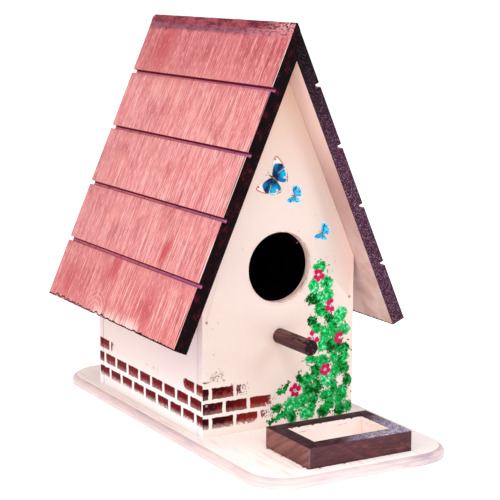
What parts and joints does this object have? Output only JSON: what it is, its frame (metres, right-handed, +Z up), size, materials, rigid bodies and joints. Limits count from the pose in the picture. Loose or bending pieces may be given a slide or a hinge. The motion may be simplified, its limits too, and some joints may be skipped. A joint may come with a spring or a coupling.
{
  "type": "birdhouse",
  "caption": "Painted wooden birdhouse with a steep grooved gable roof, round entrance and dowel perch, on a routed base board with an open seed tray in front.",
  "frame": {"origin": "on the base board's underside, in the plane of the ridge and midway between the base's front and back edges", "axes": "+Z up, -Y the way the entrance faces, +X along the front wall towards the side that the seed tray stands nearer to"},
  "size_m": [0.1812, 0.318, 0.2826],
  "materials": {
    "cream_paint": "matt cream craft paint on thin boards, with painted bricks, leaves, flowers and butterflies",
    "rose_wash": "streaky rose-red wash over wood grain, darker in the saw cuts and on the end grain",
    "umber_paint": "thin dark red-brown paint with a low sheen",
    "steel": "plain steel brads, set just below the surface"
  },
  "bodies": {
    "root": {"base_board": "cream_paint", "front_wall": "cream_paint", "back_wall": "cream_paint", "left_wall": "cream_paint", "right_wall": "cream_paint", "left_roof_board": "rose_wash", "right_roof_board": "rose_wash", "perch": "umber_paint", "tray_front_strip": "umber_paint", "tray_back_strip": "umber_paint", "tray_left_strip": "umber_paint", "tray_right_strip": "umber_paint", "front_wall_brad_1": "steel", "front_wall_brad_2": "steel", "front_wall_brad_3": "steel", "front_wall_brad_4": "steel", "back_wall_brad_1": "steel", "back_wall_brad_2": "steel", "back_wall_brad_3": "steel", "back_wall_brad_4": "steel", "left_roof_brad_1": "steel", "left_roof_brad_2": "steel", "left_roof_brad_3": "steel", "left_roof_brad_4": "steel", "right_roof_brad_1": "steel", "right_roof_brad_2": "steel", "right_roof_brad_3": "steel", "right_roof_brad_4": "steel", "base_brad_1": "steel", "base_brad_2": "steel", "base_brad_3": "steel", "base_brad_4": "steel", "base_brad_5": "steel", "base_brad_6": "steel", "tray_corner_brad_1": "steel", "tray_corner_brad_2": "steel", "tray_corner_brad_3": "steel", "tray_corner_brad_4": "steel"}
  },
  "joints": []
}
